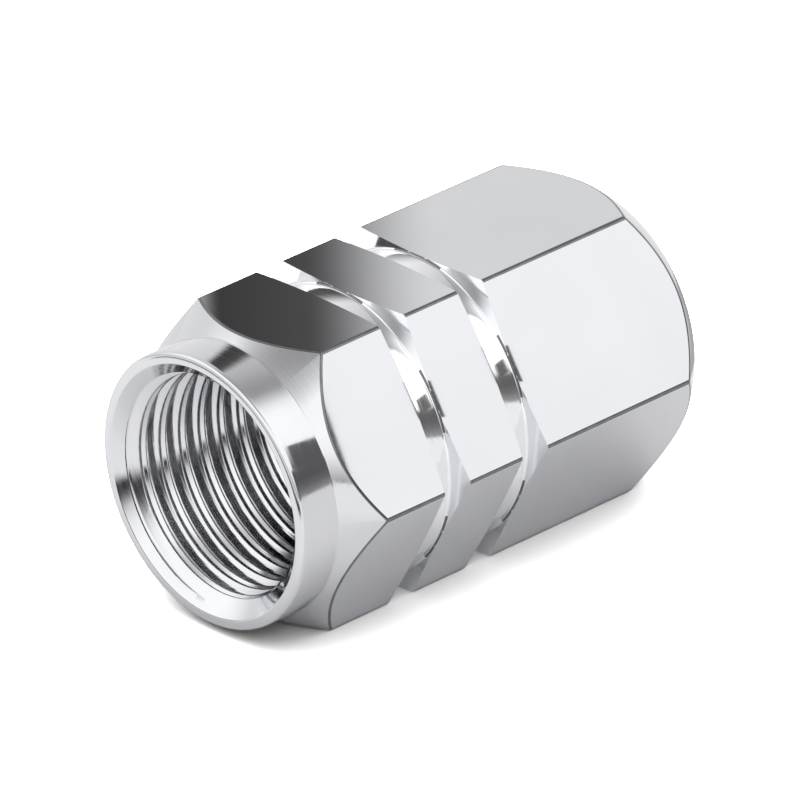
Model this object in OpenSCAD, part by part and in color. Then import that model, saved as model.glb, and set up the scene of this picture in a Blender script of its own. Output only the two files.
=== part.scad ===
// Hexagonal metal cap for a tyre valve, turned from hexagon bar, with a rubber seal washer.
// It lies on one flat of the hexagon: the axis runs along Y, the mouth faces -Y, the head +Y.
// The origin is on the floor, under the middle of the cap.
// Lengths are in millimetres. Heights along the axis are counted from the rim of the mouth.

/* [Hexagon bar] */
// Width of the hexagon across its flats
across_flats = 9.3; // [9:0.1:12]
// Length of the cap, from the rim to the head
cap_length = 16.4; // [14:0.1:22]

/* [Head] */
// Diameter of the round face that the chamfer leaves on the head
head_face_d = 8.5; // [6:0.1:8.8]
// Slope of the head chamfer, counted from the head face
head_chamfer_angle = 50; // [30:1:60]

/* [Collar at the mouth] */
// Outer diameter of the round collar
collar_d = 8.8; // [8.6:0.1:9]
// Length of the collar, from the rim to the shoulder
collar_length = 1.4; // [0.6:0.1:2.4]
// Slope of the shoulder that joins the collar to the hexagon, counted from the rim
shoulder_angle = 50; // [30:1:60]

/* [Grip grooves] */
// Number of grooves around the hexagon
groove_count = 2; // [0:1:3]
// Height of the middle of the first groove
first_groove_at = 5.4; // [4.6:0.1:6]
// Distance from one groove to the next
groove_spacing = 3.2; // [2:0.1:3.6]
// Width of a groove at its floor
groove_floor_w = 0.78; // [0.5:0.02:1]
// Depth of the groove floor below the flats of the hexagon
groove_depth = 0.07; // [0.02:0.01:0.4]
// Slope of a groove wall, counted from square to the axis
groove_wall_angle = 10; // [0:1:25]
// Radius of the fillet between the floor and a wall of a groove
groove_fillet_r = 0.15; // [0.05:0.01:0.2]

/* [Valve thread] */
// Diameter of the bore, which is the thread's inner diameter
bore_d = 6.9; // [6.6:0.05:7.2]
// Diameter of the countersink at the rim
mouth_d = 8.3; // [7.6:0.1:8.4]
// Slope of the countersink, counted from the rim
countersink_angle = 45; // [30:1:60]
// Height at which the threaded bore ends
thread_end = 9.2; // [7:0.1:10]

/* [Seal washer] */
// Outer diameter of the washer
washer_d = 7.6; // [7.4:0.1:7.8]
// Diameter of the hole in the washer, which clears the valve's pin
washer_hole_d = 3.8; // [3.4:0.1:5]
// Thickness of the washer
washer_thickness = 1.2; // [0.8:0.1:1.6]
// Gap around the washer in its seat
washer_side_gap = 0.15; // [0.05:0.01:0.25]
// Gap between the washer and the step that keeps it in
washer_end_gap = 0.2; // [0.1:0.05:0.4]
// Diameter of the drill point left in the floor of the seat
drill_point_d = 3.2; // [2:0.1:3.4]
// Full angle of the drill point
drill_point_angle = 118; // [90:1:140]

/* [Hidden] */
$fn = 96;
hexagon_sides = 6;
// Straight steps in the fillet of a groove
fillet_steps = 4;
// How far a cutter reaches past the surface that it cuts
overshoot = 0.5;

inscribed_r = across_flats / 2;
corner_r = inscribed_r / cos(180 / hexagon_sides);
turning_r = corner_r + overshoot;
head_face_r = head_face_d / 2;
collar_r = collar_d / 2;
shoulder_end = collar_length + (turning_r - collar_r) * tan(shoulder_angle);
head_chamfer_start = cap_length - (turning_r - head_face_r) * tan(head_chamfer_angle);

groove_floor_r = inscribed_r - groove_depth;
// Offset of a fillet's centre from the middle of its groove
fillet_offset = groove_floor_w / 2
    - groove_fillet_r * (1 / cos(groove_wall_angle) - tan(groove_wall_angle));
groove_open_w = groove_floor_w + 2 * (turning_r - groove_floor_r) * tan(groove_wall_angle);

bore_r = bore_d / 2;
mouth_r = mouth_d / 2;
countersink_depth = (mouth_r - bore_r) * tan(countersink_angle);
seat_r = washer_d / 2 + washer_side_gap;
seat_floor = thread_end + washer_end_gap + washer_thickness;
drill_point_depth = drill_point_d / 2 / tan(drill_point_angle / 2);

// Lays a shape that stands on its rim down on a flat of the hexagon.
module laid_down() {
    translate([0, -cap_length / 2, inscribed_r])
        rotate([-90, 0, 0])
            children();
}

// The hexagon bar that the cap is turned from.
module hexagon_bar() {
    cylinder(r = corner_r, h = cap_length, $fn = hexagon_sides);
}

// The outline that the lathe leaves: collar, shoulder, full width and head chamfer.
module turned_outline() {
    rotate_extrude()
        polygon([
            [0, 0],
            [collar_r, 0],
            [collar_r, collar_length],
            [turning_r, shoulder_end],
            [turning_r, head_chamfer_start],
            [head_face_r, cap_length],
            [0, cap_length]
        ]);
}

// Points along an arc, from one angle to another.
function arc_points(centre, radius, from, to) = [
    for (i = [0 : fillet_steps])
        let (angle = from + (to - from) * i / fillet_steps)
            centre + radius * [cos(angle), sin(angle)]
];

// A turned groove that cuts the corners of the hexagon and runs just under its flats.
module grip_groove() {
    fillet_r = groove_floor_r + groove_fillet_r;
    rotate_extrude()
        polygon(concat(
            arc_points([fillet_r, -fillet_offset], groove_fillet_r, 270 - groove_wall_angle, 180),
            arc_points([fillet_r, fillet_offset], groove_fillet_r, 180, 90 + groove_wall_angle),
            [[turning_r, groove_open_w / 2], [turning_r, -groove_open_w / 2]]
        ));
}

// The hole for the valve: countersink, threaded bore, seat of the washer and drill point.
module valve_bore() {
    rotate_extrude()
        polygon([
            [0, -overshoot],
            [mouth_r + overshoot / tan(countersink_angle), -overshoot],
            [bore_r, countersink_depth],
            [bore_r, thread_end],
            [seat_r, thread_end],
            [seat_r, seat_floor],
            [drill_point_d / 2, seat_floor],
            [0, seat_floor + drill_point_depth]
        ]);
}

// The cap itself, one turned piece.
module cap_body() {
    color("silver")
        laid_down()
            difference() {
                intersection() {
                    hexagon_bar();
                    turned_outline();
                }
                for (i = [0 : 1 : groove_count - 1])
                    translate([0, 0, first_groove_at + i * groove_spacing])
                        grip_groove();
                valve_bore();
            }
}

// The rubber washer, flat on the floor of its seat.
module seal_washer() {
    color("dimgray")
        laid_down()
            translate([0, 0, seat_floor - washer_thickness])
                difference() {
                    cylinder(r = washer_d / 2, h = washer_thickness);
                    translate([0, 0, -overshoot])
                        cylinder(r = washer_hole_d / 2, h = washer_thickness + 2 * overshoot);
                }
}

cap_body();
seal_washer();
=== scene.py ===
"""Hexagonal metal cap for a tyre valve, with its rubber seal washer.

The cap is turned from hexagon bar: a round collar at the threaded mouth, six flats, two grip
grooves and a chamfered head. It lies on one flat, its axis along Y and its mouth facing -Y.
"""

import math

import bmesh
import bpy
from bpy.props import FloatProperty, FloatVectorProperty, IntProperty, PointerProperty
from bpy.types import Operator, Panel, PropertyGroup
from mathutils import Matrix, Vector


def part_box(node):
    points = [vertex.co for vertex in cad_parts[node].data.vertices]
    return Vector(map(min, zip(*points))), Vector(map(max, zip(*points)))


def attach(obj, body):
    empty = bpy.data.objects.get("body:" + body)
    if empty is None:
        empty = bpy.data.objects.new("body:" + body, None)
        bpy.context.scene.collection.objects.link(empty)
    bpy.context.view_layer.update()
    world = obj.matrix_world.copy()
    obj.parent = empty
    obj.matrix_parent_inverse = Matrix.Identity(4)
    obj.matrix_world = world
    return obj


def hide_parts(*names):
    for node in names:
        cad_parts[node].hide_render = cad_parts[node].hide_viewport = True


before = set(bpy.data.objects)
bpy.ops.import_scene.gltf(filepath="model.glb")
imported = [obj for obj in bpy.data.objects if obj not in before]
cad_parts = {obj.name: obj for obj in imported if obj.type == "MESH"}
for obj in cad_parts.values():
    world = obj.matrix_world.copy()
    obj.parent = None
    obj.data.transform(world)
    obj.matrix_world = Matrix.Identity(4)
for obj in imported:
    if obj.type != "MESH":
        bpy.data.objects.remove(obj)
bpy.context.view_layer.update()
CAP_BOX = [Vector(corner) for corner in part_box("cap_body")]
WASHER_BOX = [Vector(corner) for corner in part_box("seal_washer")]

bl_info = {
    "name": "Tyre Valve Cap",
    "version": (1, 0, 0),
    "blender": (4, 5, 0),
    "location": "3D View > Sidebar > Valve Cap",
    "description": "Models a hexagonal tyre valve cap with its thread and seal washer",
    "category": "Object",
}

# The meshes are modelled standing on their rim, in millimetres, and are then laid down in metres.
MM = 1000.0
HEXAGON_SIDES = 6
TURNING_STEPS = 288
# Straight steps in one turn of the thread, and in the rounding of a profile's corner.
THREAD_STEPS = 72
ROUNDING_STEPS = 5
# A corner of the hexagon is rounded by this many facets, less one.
CORNER_FACETS = 8
# Turned surfaces start this far outside the hexagon's corners, in millimetres.
OVERSHOOT = 0.5
# Points nearer than this, in millimetres, are merged or count as lying on a cutting plane.
MERGE_DISTANCE = 1e-5
THREAD_MERGE_DISTANCE = 1e-4
THREAD_CUT_DISTANCE = 1e-6
# Edges shorter than this, in millimetres, are merged along a curve before it is rounded.
SHORTEST_EDGE = 0.012
# Half the stretch, in degrees round the axis, where the foot of a groove's wall gets the edges' dark
# colour, a painted shade line.
FOOT_REACH = 13
SHARP_ANGLE = math.radians(28)
# A direction askew to the whole shape, along which the parts of a mesh are put in order.
ORDER = Vector((1.0, 0.7321, 0.4142))
# The cap's surfaces, which are also its material slots.
TURNED, FLAT, TAPPED, EDGE, GROOVE = range(5)


def length_property(name, description, default):
    """A length in metres, shown in the scene's own unit."""
    return FloatProperty(
        name=name, description=description, default=default,
        min=0.0, precision=5, step=0.001, unit="LENGTH",
    )


def angle_property(name, description, degrees):
    return FloatProperty(
        name=name, description=description, default=math.radians(degrees),
        min=0.0, max=math.pi, subtype="ANGLE",
    )


def colour_property(name, description, default):
    return FloatVectorProperty(
        name=name, description=description, default=default,
        min=0.0, max=1.0, size=3, subtype="COLOR",
    )


def factor_property(name, description, default):
    return FloatProperty(
        name=name, description=description, default=default,
        min=0.0, max=1.0, subtype="FACTOR",
    )


class CapSizes(PropertyGroup):
    """Sizes of the cap. Heights are counted along its axis from the rim of the mouth."""

    across_flats: length_property(
        "Across flats", "Width of the hexagon across its flats", CAP_BOX[1].z - CAP_BOX[0].z)
    length: length_property(
        "Length", "From the rim of the mouth to the head", CAP_BOX[1].y - CAP_BOX[0].y)
    corner_radius: length_property(
        "Corner radius", "Rounding of the hexagon's six long corners", 0.00015)
    edge_width: length_property(
        "Edge width", "Width that is broken off where the turning meets the flats", 0.00005)

    collar_diameter: length_property("Collar diameter", "Round collar at the mouth", 0.0088)
    collar_length: length_property("Collar length", "From the rim to the shoulder", 0.0014)
    collar_rounding: length_property("Lip radius", "Rounding of the collar's outer lip", 0.00016)
    shoulder_angle: angle_property(
        "Shoulder angle", "Slope from the collar up to the hexagon, from the rim's plane", 50)

    head_face_diameter: length_property("Head face", "Round face left on the head", 0.0085)
    head_chamfer_angle: angle_property(
        "Head chamfer", "Slope of the head's chamfer, from the head's plane", 50)
    head_rounding: length_property("Head radius", "Rounding round the head's face", 0.0001)

    groove_count: IntProperty(
        name="Grooves", description="Number of grip grooves", default=2, min=0, max=3)
    groove_start: length_property("First groove", "Height of the middle of the first", 0.0054)
    groove_spacing: length_property("Groove spacing", "From one groove to the next", 0.0032)
    groove_floor_width: length_property("Groove floor", "Width of a groove's floor", 0.00078)
    groove_depth: length_property("Groove depth", "Depth of the floor below the flats", 0.00007)
    groove_fillet: length_property("Groove fillet", "Radius at the foot of its walls", 0.0001)
    groove_wall_angle: angle_property("Groove walls", "Slope from square to the axis", 10)

    bore_diameter: length_property("Bore", "Diameter over the crests of the thread", 0.0069)
    mouth_diameter: length_property("Mouth", "Diameter of the countersink at the rim", 0.0081)
    countersink_angle: angle_property("Countersink", "Its slope, from the rim's plane", 45)
    mouth_rounding: length_property("Mouth radius", "Rounding round the countersink", 0.00008)
    pilot_diameter: length_property("Pilot", "Diameter of the hole before it is tapped", 0.0066)
    thread_diameter: length_property("Thread", "Diameter over the roots of the thread", 0.0078)
    thread_pitch: length_property("Pitch", "Distance from one turn to the next", 0.000794)
    root_rounding: length_property("Root radius", "Rounding at the roots", 0.00009)
    crest_rounding: length_property("Crest radius", "Rounding at the crests", 0.00005)
    furrow_width: length_property("Furrow", "Width of the furrow along a crest", 0.0003)
    furrow_depth: length_property("Furrow depth", "Depth of the furrow along a crest", 0.00015)
    thread_end: length_property("Thread end", "Height at which the bore ends", 0.0092)
    seat_diameter: length_property("Seat", "Diameter of the undercut for the washer", 0.0079)
    seat_floor: length_property("Seat floor", "Height of the floor of the washer's seat", 0.0106)
    drill_diameter: length_property("Drill point", "Diameter of the drill's mark", 0.0032)
    drill_angle: angle_property("Drill angle", "Full angle of the drill's mark", 118)


class WasherSizes(PropertyGroup):
    """Sizes of the rubber washer. The outside comes from the frame."""

    diameter: length_property(
        "Diameter", "Outer diameter of the washer", WASHER_BOX[1].x - WASHER_BOX[0].x)
    hole_diameter: length_property("Hole", "Clears the pin of the valve", 0.0038)
    height: length_property(
        "Height", "Of the washer's mouth side above the rim", WASHER_BOX[0].y - CAP_BOX[0].y)
    thickness: length_property(
        "Thickness", "Thickness of the washer", WASHER_BOX[1].y - WASHER_BOX[0].y)
    rounding: length_property("Edge radius", "Rounding of its moulded edges", 0.00012)


class CapFinish(PropertyGroup):
    """Colours of the metal and the rubber, with painted shade on the edges and a painted highlight
    in the grooves.
    """

    metal_colour: colour_property("Metal", "Colour of the polished metal", (0.665, 0.67, 0.69))
    metal_shade: colour_property("Handled metal", "Where it is less bright", (0.645, 0.65, 0.67))
    # The brighter metal colour in the grooves is a painted highlight that brightens their
    # reflections.
    painted_groove_highlight: colour_property("Fresh metal", "Down in the grooves", (0.88, 0.885, 0.9))
    roughness: factor_property("Roughness", "Of the polished flats", 0.05)
    turned_roughness: factor_property("Turned roughness", "Of what the lathe cut", 0.09)
    turning_marks: factor_property("Turning marks", "Depth of the lathe's rings", 0.3)
    thread_marks: factor_property("Thread marks", "Depth of the tap's rings", 1.0)
    # The edges' dark colour is painted shade. It stands for the dark reflections along the rounded
    # edges and at the groove feet.
    edge_painted_shade: colour_property("Edges", "Where the edges are rubbed", (0.16, 0.163, 0.172))
    edge_roughness: factor_property("Edge roughness", "Of the rubbed edges", 0.22)
    rubber_colour: colour_property("Rubber", "Colour of the washer", (0.03, 0.03, 0.032))
    rubber_dust: colour_property("Rubber bloom", "Paler dust in its grain", (0.06, 0.06, 0.058))


class StudioSettings(PropertyGroup):
    """The floor, the light that the metal mirrors, and the camera."""

    floor_colour: colour_property("Floor", "Colour of the floor", (0.95, 0.95, 0.955))
    floor_seen: FloatProperty(
        name="Floor glare", description="Brightness added to the floor as the camera sees it",
        default=2.3, min=0.0, soft_max=4.0)
    floor_mirrored: FloatProperty(
        name="Mirrored glare", description="The same in front of the mouth, as the metal sees it",
        default=0.2, min=0.0, soft_max=4.0)
    floor_size: length_property("Floor size", "Half the width of the floor", 1.5)
    light: FloatProperty(
        name="Light", description="Strength of the soft light all round", default=1.0,
        min=0.0, soft_max=2.0)
    azimuth: angle_property("Azimuth", "Camera's turn to the right of the mouth", 47.3)
    elevation: angle_property("Elevation", "Camera's height above the horizon", 26.8)
    roll: angle_property("Roll", "Turn of the picture", 1.75)
    distance: length_property("Distance", "From the camera to the cap", 0.35)
    view_width: length_property("View width", "Width that the picture takes in", 0.02408)


def millimetres(settings):
    """The lengths of a property group in millimetres, and its angles and counts as they are."""
    values = {}
    for name, prop in settings.bl_rna.properties.items():
        if prop.type in {"FLOAT", "INT"} and not prop.is_readonly:
            value = getattr(settings, name)
            values[name] = value * MM if prop.unit == "LENGTH" else value
    return values


# Meshes


def put_in_order(bm):
    """Sorts a mesh's parts by their places, because a bevel leaves them in no fixed order."""
    bm.verts.sort(key=lambda vert: vert.co.dot(ORDER))
    bm.edges.sort(key=lambda edge: (edge.verts[0].co + edge.verts[1].co).dot(ORDER))
    bm.faces.sort(key=lambda face: face.calc_center_median().dot(ORDER))


def wire(bm, points):
    """Joins points (radius, height, rounding) into a profile and rounds its corners."""
    verts = [bm.verts.new((radius, 0.0, height)) for radius, height, _ in points]
    for start, end in zip(verts, verts[1:]):
        bm.edges.new((start, end))
    runs = [(end.co - start.co).normalized() for start, end in zip(verts, verts[1:])]
    for index, (_, _, rounding) in enumerate(points):
        if rounding:
            turn = runs[index - 1].angle(runs[index])
            bmesh.ops.bevel(
                bm, geom=[verts[index]], offset=rounding * math.tan(turn / 2),
                offset_type="OFFSET", segments=ROUNDING_STEPS, profile=0.5, affect="VERTICES",
                material=-1)
    put_in_order(bm)


def turn(bm):
    """Turns the profile in bm round the Z axis into a closed skin."""
    bmesh.ops.spin(
        bm, geom=bm.verts[:] + bm.edges[:], cent=(0, 0, 0), axis=(0, 0, 1),
        angle=2 * math.pi, steps=TURNING_STEPS, use_merge=True)
    bmesh.ops.remove_doubles(bm, verts=bm.verts, dist=MERGE_DISTANCE)
    bmesh.ops.recalc_face_normals(bm, faces=bm.faces)


def cap_profile(size):
    """The cap's section from the floor of the bore, out through the mouth and on to the head."""
    flat = size["across_flats"] / 2
    outside = flat / math.cos(math.pi / HEXAGON_SIDES) + OVERSHOOT
    collar, head = size["collar_diameter"] / 2, size["head_face_diameter"] / 2
    bore, mouth = size["pilot_diameter"] / 2, size["mouth_diameter"] / 2
    seat, drill = size["seat_diameter"] / 2, size["drill_diameter"] / 2
    shoulder = size["collar_length"] + (outside - collar) * math.tan(size["shoulder_angle"])
    chamfer = size["length"] - (outside - head) * math.tan(size["head_chamfer_angle"])
    points = [
        (0, size["seat_floor"] + drill / math.tan(size["drill_angle"] / 2), 0),
        (drill, size["seat_floor"], 0),
        (seat, size["seat_floor"], 0),
        (seat, size["thread_end"], 0),
        (bore, size["thread_end"], 0),
        (bore, (mouth - bore) * math.tan(size["countersink_angle"]), 0),
        (mouth, 0, size["mouth_rounding"]),
        (collar, 0, size["collar_rounding"]),
        (collar, size["collar_length"], size["mouth_rounding"]),
        (outside, shoulder, 0),
    ]
    floor = flat - size["groove_depth"]
    half = size["groove_floor_width"] / 2
    middles, half_open = groove_heights(size)
    for middle in middles:
        points += [
            (outside, middle - half_open, 0),
            (floor, middle - half, size["groove_fillet"]),
            (floor, middle + half, size["groove_fillet"]),
            (outside, middle + half_open, 0),
        ]
    points += [
        (outside, chamfer, 0),
        (head, size["length"], size["head_rounding"]),
        (0, size["length"], 0),
    ]
    return points


def cut_flat(bm, layer, angle, distance, kind):
    """Cuts off what lies outside a plane along the axis, and closes the cut with this kind."""
    normal = Vector((math.cos(angle), math.sin(angle), 0))
    cut = bmesh.ops.bisect_plane(
        bm, geom=bm.verts[:] + bm.edges[:] + bm.faces[:], dist=MERGE_DISTANCE,
        plane_co=normal * distance, plane_no=normal, clear_outer=True)
    rim = [item for item in cut["geom_cut"] if isinstance(item, bmesh.types.BMEdge)]
    for face in bmesh.ops.holes_fill(bm, edges=rim, sides=0)["faces"]:
        face[layer] = kind


def cut_hexagon(bm, size):
    """Gives the turned cap its six flats and rounded corners, and each face its surface."""
    layer = bm.faces.layers.int.new("surface")
    flat, radius = size["across_flats"] / 2, size["corner_radius"]
    half_turn = math.pi / HEXAGON_SIDES
    for side in range(HEXAGON_SIDES):
        cut_flat(bm, layer, (2 * side + 1) * half_turn, flat, FLAT)
    rounding_centre = (flat - radius) / math.cos(half_turn)
    for side in range(HEXAGON_SIDES):
        for facet in range(1, CORNER_FACETS):
            lean = half_turn * (2 * facet / CORNER_FACETS - 1)
            distance = rounding_centre * math.cos(lean) + radius
            cut_flat(bm, layer, 2 * side * half_turn + lean, distance, EDGE)
    bmesh.ops.recalc_face_normals(bm, faces=bm.faces)
    middles, half_open = groove_heights(size)
    for face in bm.faces:
        centre = face.calc_center_median()
        face.material_index = face[layer]
        if face[layer] == TURNED and centre.xy.length > size["seat_diameter"] / 2:
            if any(abs(centre.z - middle) < half_open for middle in middles):
                # The foot of the wall that faces the mouth gets the edges' dark colour as painted
                # shade. The rest of the groove gets its brighter colour as painted highlight.
                face.material_index = EDGE if is_foot(face, centre, flat) else GROOVE
    break_edges(bm, layer, size)


def is_foot(face, centre, flat):
    """True at the foot of the groove wall that faces the mouth, near the middle of a flat."""
    off_middle = math.degrees(math.atan2(centre.y, centre.x)) % 60 - 30
    faces_mouth = face.normal.z < -0.5
    return centre.xy.length < flat and faces_mouth and abs(off_middle) < FOOT_REACH


def groove_heights(size):
    """Heights of the middles of the grooves, and half a groove's width at the turned outside."""
    flat = size["across_flats"] / 2
    outside = flat / math.cos(math.pi / HEXAGON_SIDES) + OVERSHOOT
    rise = outside - flat + size["groove_depth"]
    half_open = size["groove_floor_width"] / 2 + rise * math.tan(size["groove_wall_angle"])
    middles = [
        size["groove_start"] + index * size["groove_spacing"]
        for index in range(size["groove_count"])
    ]
    return middles, half_open


def break_edges(bm, layer, size):
    """Rounds off the curved edges where the shoulder and the head chamfer meet the flats."""
    middles, half_open = groove_heights(size)

    def is_broken(edge):
        kinds = [face[layer] for face in edge.link_faces]
        if kinds.count(TURNED) != 1:
            return False
        height = (edge.verts[0].co.z + edge.verts[1].co.z) / 2
        return all(abs(height - middle) > half_open for middle in middles)

    verts = [vert for vert in bm.verts if any(is_broken(edge) for edge in vert.link_edges)]
    bmesh.ops.remove_doubles(bm, verts=verts, dist=SHORTEST_EDGE)
    edges = [edge for edge in bm.edges if is_broken(edge)]
    bmesh.ops.bevel(
        bm, geom=edges, offset=size["edge_width"], offset_type="OFFSET", segments=3,
        profile=0.5, affect="EDGES", material=EDGE, clamp_overlap=False)
    put_in_order(bm)


def finished_mesh(bm, name, across_flats, length):
    """Lays the standing mesh down in metres, as the frame lies, and smooths its shading."""
    place = Matrix.Translation((0, -length / 2, across_flats / 2))
    lay_down = Matrix.Rotation(-math.pi / 2, 4, "X")
    bmesh.ops.transform(bm, verts=bm.verts, matrix=Matrix.Scale(1 / MM, 4) @ place @ lay_down)
    for face in bm.faces:
        face.smooth = True
    mesh = bpy.data.meshes.new(name)
    bm.to_mesh(mesh)
    bm.free()
    mesh.set_sharp_from_angle(angle=SHARP_ANGLE)
    return mesh


def tap(size):
    """The shape that a forming tap clears: a core whose skin is the thread, crest furrow and all."""
    bm = bmesh.new()
    pitch, crest, root = size["thread_pitch"], size["bore_diameter"] / 2, size["thread_diameter"] / 2
    start, end = -2 * pitch, (size["thread_end"] + size["seat_floor"]) / 2
    half_furrow, rounding = size["furrow_width"] / 2, size["crest_rounding"]
    flank = (root - crest) * (pitch / 4) / (pitch / 2 - half_furrow)
    wire(bm, [
        (root - flank, start - pitch / 4, 0),
        (root, start, size["root_rounding"]),
        (crest, start + pitch / 2 - half_furrow, rounding),
        (crest + size["furrow_depth"], start + pitch / 2, rounding),
        (crest, start + pitch / 2 + half_furrow, rounding),
        (root - flank, start + 3 * pitch / 4, 0),
    ])
    turns = math.ceil((end - start) / pitch) + 2
    bmesh.ops.spin(
        bm, geom=bm.verts[:] + bm.edges[:], cent=(0, 0, 0), axis=(0, 0, 1),
        dvec=(0, 0, pitch / THREAD_STEPS), angle=turns * 2 * math.pi, steps=turns * THREAD_STEPS)
    bmesh.ops.remove_doubles(bm, verts=bm.verts, dist=THREAD_MERGE_DISTANCE)
    for height, below in ((-OVERSHOOT, True), (end, False)):
        cut = bmesh.ops.bisect_plane(
            bm, geom=bm.verts[:] + bm.edges[:] + bm.faces[:], dist=THREAD_CUT_DISTANCE,
            plane_co=(0, 0, height), plane_no=(0, 0, 1), clear_inner=below, clear_outer=not below)
        rim = [item for item in cut["geom_cut"] if isinstance(item, bmesh.types.BMEdge)]
        bmesh.ops.holes_fill(bm, edges=rim, sides=0)
    bmesh.ops.recalc_face_normals(bm, faces=bm.faces)
    for face in bm.faces:
        face.material_index = TAPPED
    return bm


def cut_thread(bm, size, materials):
    """Cuts the thread into the standing cap and returns the cap as a new bmesh."""
    objects = []
    for shape, name in ((bm, "blank"), (tap(size), "tap")):
        mesh = bpy.data.meshes.new(name)
        shape.to_mesh(mesh)
        shape.free()
        for material in materials:
            mesh.materials.append(material)
        objects.append(bpy.data.objects.new(name, mesh))
        bpy.context.scene.collection.objects.link(objects[-1])
    blank, cutter = objects
    boolean = blank.modifiers.new("Thread", "BOOLEAN")
    boolean.object = cutter
    boolean.operation = "DIFFERENCE"
    boolean.solver = "EXACT"
    depsgraph = bpy.context.evaluated_depsgraph_get()
    tapped = bmesh.new()
    tapped.from_mesh(blank.evaluated_get(depsgraph).data)
    for obj in objects:
        mesh = obj.data
        bpy.data.objects.remove(obj)
        bpy.data.meshes.remove(mesh)
    return tapped


def add_piece(name, mesh, node, materials):
    """Puts a finished mesh into the scene in place of its CAD node."""
    piece = bpy.data.objects.new(name, mesh)
    bpy.context.scene.collection.objects.link(piece)
    for material in materials:
        mesh.materials.append(material)
    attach(piece, "root")
    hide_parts(node)
    return piece


# Materials


class Nodes:
    """Short calls for laying out a node tree."""

    def __init__(self, tree):
        self.tree = tree
        tree.nodes.clear()

    def add(self, kind, inputs=None, **settings):
        """Adds a node. inputs gives a value or another node's output for each socket."""
        node = self.tree.nodes.new(kind)
        for name, value in settings.items():
            setattr(node, name, value)
        for name, value in (inputs or {}).items():
            socket = node.inputs[name]
            if isinstance(value, bpy.types.NodeSocket):
                self.tree.links.new(value, socket)
            else:
                socket.default_value = value
        return node

    def math(self, operation, first, second, **settings):
        """A Math node between two values or outputs."""
        node = self.add("ShaderNodeMath", operation=operation, **settings)
        for socket, value in zip(node.inputs, (first, second)):
            if isinstance(value, bpy.types.NodeSocket):
                self.tree.links.new(value, socket)
            else:
                socket.default_value = value
        return node.outputs["Value"]

    def blend(self, share, first, second=None):
        """A Mix Shader of two shaders, where share is the second one's. No second is black."""
        node = self.add("ShaderNodeMixShader", {"Fac": share})
        self.tree.links.new(first, node.inputs[1])
        if second:
            self.tree.links.new(second, node.inputs[2])
        return node.outputs["Shader"]

    def thrown_back(self, rays):
        """1 for what the metal throws back onto the floor that the camera sees, 0 for the rest."""
        short = self.math("SUBTRACT", 2.0, rays["Glossy Depth"], use_clamp=True)
        matt = self.math("MINIMUM", rays["Diffuse Depth"], 1.0)
        return self.math("MULTIPLY", self.math("MULTIPLY", short, matt), rays["Is Glossy Ray"])

    def ramp(self, factor, stops):
        """A Color Ramp through stops of (position, grey or colour)."""
        node = self.add("ShaderNodeValToRGB", {"Fac": factor})
        elements = node.color_ramp.elements
        while len(elements) > 1:
            elements.remove(elements[-1])
        for index, (position, colour) in enumerate(stops):
            element = elements[0] if index == 0 else elements.new(position)
            element.position = position
            if isinstance(colour, (int, float)):
                colour = (colour, colour, colour)
            element.color = (*colour, 1.0)
        return node.outputs["Color"]


# Spacing of the rings that the lathe and the tap leave, in metres.
TURNING_SPACING = 0.00011
TAPPING_SPACING = 0.00006


def new_material(name):
    material = bpy.data.materials.new(name)
    material.use_nodes = True
    return material, Nodes(material.node_tree)


def flat_metal(finish):
    """Mirror-polished flats, with faint marks drawn along the bar and a soft unevenness."""
    material, nodes = new_material("polished_flats")
    place = nodes.add("ShaderNodeTexCoord").outputs["Object"]
    clouds = nodes.add("ShaderNodeTexNoise", {"Vector": place, "Scale": 260.0, "Detail": 3.0})
    along = nodes.add("ShaderNodeMapping", {"Vector": place, "Scale": (9000.0, 220.0, 9000.0)})
    drawn = nodes.add("ShaderNodeTexNoise", {
        "Vector": along.outputs["Vector"], "Scale": 1.0, "Detail": 4.0, "Roughness": 0.6})
    colour = nodes.ramp(clouds.outputs["Fac"], [
        (0.3, tuple(finish.metal_shade)), (0.62, tuple(finish.metal_colour))])
    roughness = nodes.add("ShaderNodeMapRange", {
        "Value": drawn.outputs["Fac"], "From Min": 0.3, "From Max": 0.75,
        "To Min": finish.roughness * 0.85, "To Max": finish.roughness * 1.2})
    waves = nodes.add("ShaderNodeBump", {
        "Strength": 0.25, "Distance": 0.000004, "Height": clouds.outputs["Fac"]})
    marks = nodes.add("ShaderNodeBump", {
        "Strength": 0.02, "Distance": 0.000002, "Height": drawn.outputs["Fac"],
        "Normal": waves.outputs["Normal"]})
    shader = nodes.add("ShaderNodeBsdfPrincipled", {
        "Base Color": colour, "Metallic": 1.0, "Roughness": roughness.outputs["Result"],
        "Normal": marks.outputs["Normal"]})
    nodes.add("ShaderNodeOutputMaterial", {"Surface": shader.outputs["BSDF"]})
    return material


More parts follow.
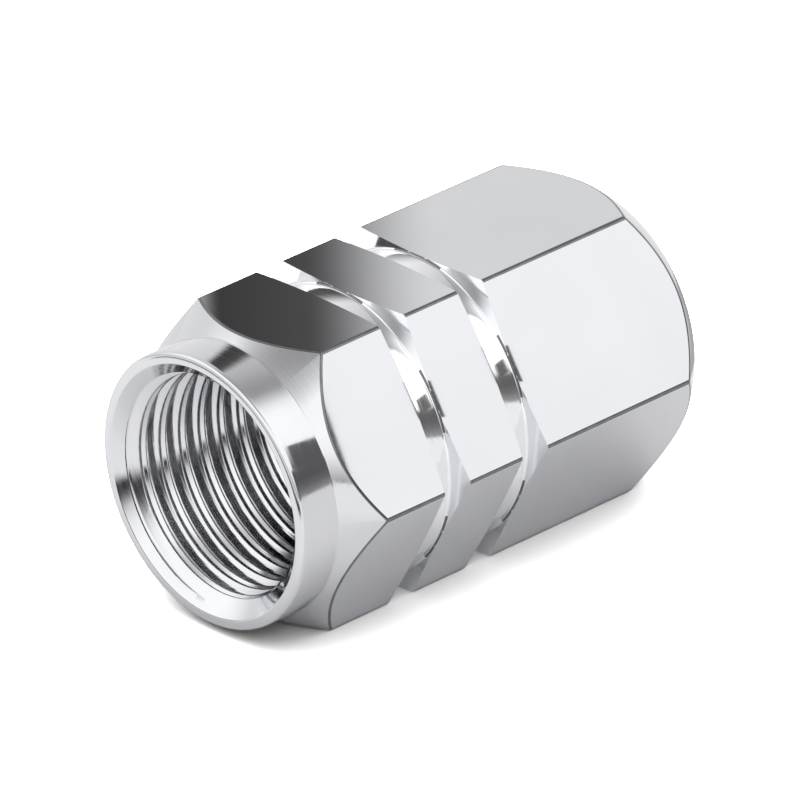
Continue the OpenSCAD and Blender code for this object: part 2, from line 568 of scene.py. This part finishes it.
def turned_metal(name, finish, marks, spacing, painted_highlight=None):
    """What was cut in the lathe: fine rings round the axis that smear the reflections."""
    material, nodes = new_material(name)
    place = nodes.add("ShaderNodeTexCoord").outputs["Object"]
    clouds = nodes.add("ShaderNodeTexNoise", {"Vector": place, "Scale": 420.0, "Detail": 3.0})
    around = nodes.add("ShaderNodeMapping", {
        "Vector": place, "Scale": (160.0, 1.0 / spacing, 160.0)})
    rings = nodes.add("ShaderNodeTexNoise", {
        "Vector": around.outputs["Vector"], "Scale": 1.0, "Detail": 3.0, "Roughness": 0.55})
    # A given brighter colour replaces the metal's colour. In the grooves this is a painted
    # highlight.
    colour = nodes.ramp(clouds.outputs["Fac"], [
        (0.32, tuple(painted_highlight or finish.metal_shade)), (0.6, tuple(painted_highlight or finish.metal_colour))])
    roughness = nodes.add("ShaderNodeMapRange", {
        "Value": rings.outputs["Fac"], "From Min": 0.3, "From Max": 0.7,
        "To Min": finish.turned_roughness * 0.6, "To Max": finish.turned_roughness * 1.5})
    bump = nodes.add("ShaderNodeBump", {
        "Strength": marks, "Distance": 0.000004, "Height": rings.outputs["Fac"]})
    shader = nodes.add("ShaderNodeBsdfPrincipled", {
        "Base Color": colour, "Metallic": 1.0, "Roughness": roughness.outputs["Result"],
        "Normal": bump.outputs["Normal"]})
    nodes.add("ShaderNodeOutputMaterial", {"Surface": shader.outputs["BSDF"]})
    return material


def painted_dark_edge_metal(finish):
    """Rounded and broken edges and groove feet in a dark colour: painted shade for their dark
    reflections.
    """
    material, nodes = new_material("rubbed_edges")
    place = nodes.add("ShaderNodeTexCoord").outputs["Object"]
    wear = nodes.add("ShaderNodeTexNoise", {"Vector": place, "Scale": 2500.0, "Detail": 3.0})
    colour = nodes.ramp(wear.outputs["Fac"], [
        (0.35, tuple(finish.edge_painted_shade)),
        (0.7, tuple(channel * 1.3 for channel in finish.edge_painted_shade))])
    shader = nodes.add("ShaderNodeBsdfPrincipled", {
        "Base Color": colour, "Metallic": 1.0, "Roughness": finish.edge_roughness})
    nodes.add("ShaderNodeOutputMaterial", {"Surface": shader.outputs["BSDF"]})
    return material


def moulded_rubber(finish):
    """Black rubber with a fine matt grain and a little pale bloom in it."""
    material, nodes = new_material("moulded_rubber")
    place = nodes.add("ShaderNodeTexCoord").outputs["Object"]
    grain = nodes.add("ShaderNodeTexNoise", {"Vector": place, "Scale": 9000.0, "Detail": 4.0})
    bloom = nodes.add("ShaderNodeTexNoise", {"Vector": place, "Scale": 700.0, "Detail": 5.0})
    colour = nodes.ramp(bloom.outputs["Fac"], [
        (0.45, tuple(finish.rubber_colour)), (0.8, tuple(finish.rubber_dust))])
    roughness = nodes.add("ShaderNodeMapRange", {
        "Value": bloom.outputs["Fac"], "To Min": 0.5, "To Max": 0.75})
    bump = nodes.add("ShaderNodeBump", {
        "Strength": 0.35, "Distance": 0.00001, "Height": grain.outputs["Fac"]})
    shader = nodes.add("ShaderNodeBsdfPrincipled", {
        "Base Color": colour, "Roughness": roughness.outputs["Result"],
        "Normal": bump.outputs["Normal"]})
    nodes.add("ShaderNodeOutputMaterial", {"Surface": shader.outputs["BSDF"]})
    return material


# Studio

# What the metal mirrors, by the angle round the cap's axis: (degrees up from +X, grey as shown).
STRIP_LIGHTS = [
    (-180, 214), (-90, 214), (-17, 212), (-11, 200), (-5, 172), (1, 128), (7, 98), (13, 82),
    (21, 86), (22.8, 205), (23.8, 237), (26, 241), (32, 244), (42, 250), (62, 250), (68, 245),
    (73, 230), (79, 191), (85, 150), (91, 146), (97, 155), (109, 176), (120, 188), (132, 198),
    (145, 208), (175, 214),
]

# What the mouth and the shoulder mirror in front, by height: (Z of the direction, grey as shown).
FRONT_LIGHT = [
    (0.0, 150), (0.1, 190), (0.3, 240), (0.5, 251), (0.7, 248), (0.8, 195), (0.88, 145)]

# Upright cards that the top flat, the mouth and the head chamfer mirror: name, middle, width,
# height, the axis that it faces, the axis that it fades along, greys at the two ends, and the
# middle and half-width of the fade at each end.
FADING_FLAGS = [
    ("side", (-0.015, 0.0095, 0.026), 0.017, 0.036, "X", "Y",
     (54, 80), (0.0053, 0.0009), (0.0127, 0.003)),
    ("front", (0.0, -0.022, 0.003), 0.04, 0.006, "Y", "Z",
     (50, 60), (0.001, 0.001), (0.0042, 0.0015)),
    ("back", (0.0004, 0.015, 0.0025), 0.0052, 0.005, "Y", "X",
     (150, 150), (-0.0012, 0.0008), (0.002, 0.0008)),
]

# Small dark cards beside the cap, which the collar and each groove mirror: name, middle, width,
# height and lean.
LOW_FLAG_GREY = 86
LOW_FLAGS = [
    ("collar_card", (0.012, -0.0013, 0.0116), 0.0036, 0.0046, math.radians(-22)),
    ("first_groove_card", (0.0075, 0.00025, 0.0088), 0.0009, 0.0014, math.radians(-20)),
    ("second_groove_card", (0.0075, 0.0035, 0.0088), 0.0009, 0.0014, math.radians(-20)),
]

# How much light the metal sends back, and the strength of the brightest strip.
MIRROR_SHARE = 0.665
BRIGHTEST = 1.5
# Strength of the light that the metal throws back onto the floor beside it.
THROWN_BACK = 0.04
WHITE = (1.0, 1.0, 1.0, 1.0)

# The camera's sensor in millimetres, its nearest and furthest sight in metres, and how far the
# picture is shifted across and up, as shares of its width.
SENSOR_WIDTH = 36.0
CLIP = (0.05, 20.0)
PICTURE_SHIFT = (-0.0029, 0.0022)


def mirrored(shown):
    """The strength of light that shows in the metal as a grey from 0 to 255."""
    share = shown / 255
    linear = share / 12.92 if share <= 0.04045 else ((share + 0.055) / 1.055) ** 2.4
    return linear / MIRROR_SHARE


def floor_material(settings):
    """Matt white. The camera and the metal see it over-bright, but its light on the cap is plain."""
    material, nodes = new_material("pale_floor")
    place = nodes.add("ShaderNodeTexCoord").outputs["Object"]
    grain = nodes.add("ShaderNodeTexNoise", {"Vector": place, "Scale": 900.0, "Detail": 2.0})
    tone = nodes.ramp(grain.outputs["Fac"], [
        (0.3, tuple(channel * 0.995 for channel in settings.floor_colour)),
        (0.7, tuple(settings.floor_colour))])
    plain = nodes.add("ShaderNodeBsdfPrincipled", {
        "Base Color": tone, "Roughness": 0.9, "Specular IOR Level": 0.0})
    rays = nodes.add("ShaderNodeLightPath").outputs
    first = nodes.math("SUBTRACT", 1.0, rays["Diffuse Depth"], use_clamp=True)
    mirrored_share = nodes.math("MULTIPLY", rays["Is Glossy Ray"], first)
    along = nodes.add("ShaderNodeSeparateXYZ", {"Vector": place}).outputs["Y"]
    in_front = nodes.add("ShaderNodeMapRange", {
        "Value": along, "From Min": -0.009, "From Max": -0.014,
        "To Min": 0.0, "To Max": settings.floor_mirrored})
    gain = nodes.math(
        "ADD", nodes.math("MULTIPLY", rays["Is Camera Ray"], settings.floor_seen),
        nodes.math("MULTIPLY", mirrored_share, in_front.outputs["Result"]))
    glare = nodes.add("ShaderNodeBsdfDiffuse", {"Color": gain})
    both = nodes.add("ShaderNodeAddShader")
    nodes.tree.links.new(plain.outputs["BSDF"], both.inputs[0])
    nodes.tree.links.new(glare.outputs["BSDF"], both.inputs[1])
    spent = nodes.blend(nodes.thrown_back(rays), both.outputs["Shader"])
    nodes.add("ShaderNodeOutputMaterial", {"Surface": spent})
    return material


def card_material(name, shown):
    """A plain grey card, clear to the rays that run towards the mouth."""
    material, nodes = new_material(name)
    incoming = nodes.add("ShaderNodeNewGeometry").outputs["Incoming"]
    towards_mouth = nodes.add("ShaderNodeSeparateXYZ", {"Vector": incoming}).outputs["Y"]
    clear = nodes.add("ShaderNodeBsdfTransparent")
    card = nodes.add("ShaderNodeEmission", {"Strength": mirrored(shown)})
    shown_share = nodes.math("LESS_THAN", towards_mouth, 0.0)
    mix = nodes.blend(shown_share, clear.outputs["BSDF"], card.outputs["Emission"])
    nodes.add("ShaderNodeOutputMaterial", {"Surface": mix})
    return material


def flag_material(name, axis, shades, low, high):
    """A grey card that only the metal sees. It fades to clear towards both ends of one axis.

    shades are its greys at the two ends, low and high the middle and half-width of a fade.
    """
    material, nodes = new_material(name)
    place = nodes.add("ShaderNodeTexCoord").outputs["Object"]
    along = nodes.add("ShaderNodeSeparateXYZ", {"Vector": place}).outputs[axis]
    rise = nodes.add("ShaderNodeMapRange", {
        "Value": along, "From Min": low[0] - low[1], "From Max": low[0] + low[1],
        "To Min": 0.0, "To Max": 1.0}, interpolation_type="SMOOTHSTEP")
    fall = nodes.add("ShaderNodeMapRange", {
        "Value": along, "From Min": high[0] - high[1], "From Max": high[0] + high[1],
        "To Min": 1.0, "To Max": 0.0}, interpolation_type="SMOOTHSTEP")
    cover = nodes.math("MULTIPLY", rise.outputs["Result"], fall.outputs["Result"])
    tone = nodes.add("ShaderNodeMapRange", {
        "Value": along, "From Min": low[0], "From Max": high[0],
        "To Min": mirrored(shades[0]), "To Max": mirrored(shades[1])})
    clear = nodes.add("ShaderNodeBsdfTransparent")
    card = nodes.add("ShaderNodeEmission", {"Strength": tone.outputs["Result"]})
    mix = nodes.blend(cover, clear.outputs["BSDF"], card.outputs["Emission"])
    nodes.add("ShaderNodeOutputMaterial", {"Surface": mix})
    return material


def add_flag(name, centre, across, height, facing, material, lean=0.0):
    """An upright card that faces along X or Y, seen by mirror reflections alone."""
    bm = bmesh.new()
    bmesh.ops.create_grid(bm, x_segments=1, y_segments=1, size=0.5)
    bmesh.ops.scale(bm, vec=(across, height, 1), verts=bm.verts)
    bmesh.ops.rotate(
        bm, cent=(0, 0, 0), matrix=Matrix.Rotation(math.pi / 2, 3, "X"), verts=bm.verts)
    if facing == "X":
        turned = Matrix.Rotation(lean, 3, "X") @ Matrix.Rotation(math.pi / 2, 3, "Z")
        bmesh.ops.rotate(bm, cent=(0, 0, 0), matrix=turned, verts=bm.verts)
    bmesh.ops.translate(bm, vec=centre, verts=bm.verts)
    mesh = bpy.data.meshes.new(name)
    bm.to_mesh(mesh)
    bm.free()
    mesh.materials.append(material)
    flag = bpy.data.objects.new(name, mesh)
    bpy.context.scene.collection.objects.link(flag)
    flag.visible_camera = False
    flag.visible_diffuse = False
    flag.visible_shadow = False
    flag.visible_transmission = False
    return flag


def add_floor(settings):
    bm = bmesh.new()
    bmesh.ops.create_grid(bm, x_segments=1, y_segments=1, size=settings.floor_size)
    mesh = bpy.data.meshes.new("floor")
    bm.to_mesh(mesh)
    bm.free()
    mesh.materials.append(floor_material(settings))
    floor = bpy.data.objects.new("floor", mesh)
    bpy.context.scene.collection.objects.link(floor)
    return floor


def mirrored_strips(nodes, direction, split):
    """What the metal mirrors: strips along the cap's axis, and another light before the mouth."""
    turned = nodes.add("ShaderNodeMapping", {
        "Vector": direction, "Rotation": (-math.pi / 2, 0.0, 0.0)})
    around = nodes.add(
        "ShaderNodeTexGradient", {"Vector": turned.outputs["Vector"]}, gradient_type="RADIAL")
    strips = nodes.ramp(around.outputs["Fac"], [
        (degrees / 360 + 0.5, mirrored(shown) / BRIGHTEST) for degrees, shown in STRIP_LIGHTS])
    towards_mouth = nodes.add("ShaderNodeMapRange", {
        "Value": split["Y"], "From Min": -0.35, "From Max": -0.05,
        "To Min": 1.0, "To Max": 0.0})
    before = nodes.ramp(split["Z"], [
        (height, mirrored(shown) / BRIGHTEST) for height, shown in FRONT_LIGHT])
    front = nodes.add(
        "ShaderNodeMix", {"Factor": towards_mouth.outputs["Result"]}, data_type="RGBA")
    nodes.tree.links.new(strips, front.inputs["A"])
    nodes.tree.links.new(before, front.inputs["B"])
    return front.outputs["Result"]


def sky_strength(nodes, height, rays):
    """1 as the camera sees it. Matt surfaces are lit from overhead instead.

    Twice the square of the height gives a level surface the same light as even white would.
    """
    overhead = nodes.math("MULTIPLY", nodes.math("POWER", height, 2.0), 2.0)
    overhead = nodes.math("MULTIPLY", overhead, nodes.math("GREATER_THAN", height, 0.0))
    unseen = nodes.math("SUBTRACT", 1.0, rays["Is Camera Ray"])
    return nodes.math("ADD", nodes.math("MULTIPLY", overhead, unseen), rays["Is Camera Ray"])


def light_world(settings):
    """White for the camera, soft light from overhead, and strips of grey for the metal."""
    world = bpy.data.worlds.new("studio")
    bpy.context.scene.world = world
    world.use_nodes = True
    nodes = Nodes(world.node_tree)
    direction = nodes.add("ShaderNodeTexCoord").outputs["Generated"]
    split = nodes.add("ShaderNodeSeparateXYZ", {"Vector": direction}).outputs
    rays = nodes.add("ShaderNodeLightPath").outputs
    mirrored_light = nodes.add("ShaderNodeBackground", {
        "Color": mirrored_strips(nodes, direction, split),
        "Strength": settings.light * BRIGHTEST})
    strength = nodes.math("MULTIPLY", sky_strength(nodes, split["Z"], rays), settings.light)
    sky = nodes.add("ShaderNodeBackground", {"Color": WHITE, "Strength": strength})
    thrown_back = nodes.add("ShaderNodeBackground", {
        "Color": WHITE, "Strength": settings.light * THROWN_BACK})
    metal = nodes.blend(
        nodes.thrown_back(rays), mirrored_light.outputs["Background"],
        thrown_back.outputs["Background"])
    mix = nodes.blend(rays["Is Glossy Ray"], sky.outputs["Background"], metal)
    nodes.add("ShaderNodeOutputWorld", {"Surface": mix})


def add_camera(settings):
    """A long lens that looks at the cap from the mouth's side and above."""
    data = bpy.data.cameras.new("camera")
    data.sensor_width = SENSOR_WIDTH
    data.lens = SENSOR_WIDTH * settings.distance / settings.view_width
    data.clip_start, data.clip_end = CLIP
    data.shift_x, data.shift_y = PICTURE_SHIFT
    camera = bpy.data.objects.new("camera", data)
    bpy.context.scene.collection.objects.link(camera)
    azimuth, elevation = settings.azimuth, settings.elevation
    back = Vector((
        math.sin(azimuth) * math.cos(elevation),
        -math.cos(azimuth) * math.cos(elevation),
        math.sin(elevation),
    ))
    middle = (CAP_BOX[0] + CAP_BOX[1]) / 2
    turn_picture = Matrix.Rotation(-settings.roll, 4, "Z")
    look = (-back).to_track_quat("-Z", "Y").to_matrix().to_4x4()
    camera.matrix_world = Matrix.Translation(middle + back * settings.distance) @ look @ turn_picture
    bpy.context.scene.camera = camera


# Operators, panel and start


class VALVECAP_OT_body(Operator):
    """Model the metal cap: turned outline, hexagon, grip grooves and thread"""

    bl_idname = "valvecap.body"
    bl_label = "Add Cap Body"
    bl_options = {"REGISTER", "UNDO"}

    def execute(self, context):
        size = millimetres(context.scene.valvecap_sizes)
        finish = context.scene.valvecap_finish
        bm = bmesh.new()
        wire(bm, cap_profile(size))
        turn(bm)
        cut_hexagon(bm, size)
        turning = finish.turning_marks
        materials = [
            turned_metal("turned_metal", finish, turning, TURNING_SPACING),
            flat_metal(finish),
            turned_metal("tapped_metal", finish, finish.thread_marks, TAPPING_SPACING),
            # Dark colour on the edges and groove feet: painted shade.
            painted_dark_edge_metal(finish),
            # Brighter colour in the grooves: painted highlight.
            turned_metal("grooved_metal", finish, turning, TURNING_SPACING, finish.painted_groove_highlight),
        ]
        bm = cut_thread(bm, size, materials)
        mesh = finished_mesh(bm, "cap", size["across_flats"], size["length"])
        piece = add_piece("valve_cap", mesh, "cap_body", materials)
        weighted = piece.modifiers.new("Even shading", "WEIGHTED_NORMAL")
        weighted.keep_sharp = True
        return {"FINISHED"}


class VALVECAP_OT_washer(Operator):
    """Model the rubber washer that seals the cap on its valve"""

    bl_idname = "valvecap.washer"
    bl_label = "Add Seal Washer"
    bl_options = {"REGISTER", "UNDO"}

    def execute(self, context):
        cap = millimetres(context.scene.valvecap_sizes)
        size = millimetres(context.scene.valvecap_washer)
        inner, outer = size["hole_diameter"] / 2, size["diameter"] / 2
        low, high = size["height"], size["height"] + size["thickness"]
        rounding = size["rounding"]
        middle = (low + high) / 2
        bm = bmesh.new()
        wire(bm, [
            (outer, middle, 0), (outer, low, rounding), (inner, low, rounding),
            (inner, high, rounding), (outer, high, rounding), (outer, middle, 0),
        ])
        turn(bm)
        mesh = finished_mesh(bm, "washer", cap["across_flats"], cap["length"])
        add_piece(
            "rubber_washer", mesh, "seal_washer",
            [moulded_rubber(context.scene.valvecap_finish)])
        return {"FINISHED"}


class VALVECAP_OT_studio(Operator):
    """Set up the pale floor, the soft light and the camera"""

    bl_idname = "valvecap.studio"
    bl_label = "Add Studio"
    bl_options = {"REGISTER", "UNDO"}

    def execute(self, context):
        settings = context.scene.valvecap_studio
        floor = add_floor(settings)
        fading_flags = [
            add_flag(
                name + "_flag", middle, across, tall, facing,
                flag_material(name + "_card", axis, shades, low, high))
            for name, middle, across, tall, facing, axis, shades, low, high in FADING_FLAGS]
        low_flags = [
            add_flag(name, middle, across, tall, "X", card_material(name, LOW_FLAG_GREY), lean)
            for name, middle, across, tall, lean in LOW_FLAGS]
        light_world(settings)
        add_camera(settings)
        context.scene.view_settings.view_transform = "Standard"
        return {"FINISHED"}


class VALVECAP_PT_panel(Panel):
    """The cap's pieces and their sizes"""

    bl_idname = "VALVECAP_PT_panel"
    bl_label = "Valve Cap"
    bl_space_type = "VIEW_3D"
    bl_region_type = "UI"
    bl_category = "Valve Cap"

    def draw(self, context):
        scene = context.scene
        for operator, settings in (
            (VALVECAP_OT_body, (scene.valvecap_sizes, scene.valvecap_finish)),
            (VALVECAP_OT_washer, (scene.valvecap_washer,)),
            (VALVECAP_OT_studio, (scene.valvecap_studio,)),
        ):
            box = self.layout.box()
            box.operator(operator.bl_idname)
            for group in settings:
                for name in type(group).__annotations__:
                    box.prop(group, name)


GROUPS = {
    "valvecap_sizes": CapSizes,
    "valvecap_washer": WasherSizes,
    "valvecap_finish": CapFinish,
    "valvecap_studio": StudioSettings,
}
CLASSES = [
    *GROUPS.values(), VALVECAP_OT_body, VALVECAP_OT_washer, VALVECAP_OT_studio,
    VALVECAP_PT_panel,
]


def register():
    for cls in CLASSES:
        bpy.utils.register_class(cls)
    for name, group in GROUPS.items():
        setattr(bpy.types.Scene, name, PointerProperty(type=group))


def unregister():
    for name in GROUPS:
        delattr(bpy.types.Scene, name)
    for cls in reversed(CLASSES):
        bpy.utils.unregister_class(cls)


def main():
    register()
    bpy.ops.valvecap.body()
    bpy.ops.valvecap.washer()
    bpy.ops.valvecap.studio()


if __name__ == "__main__":
    main()
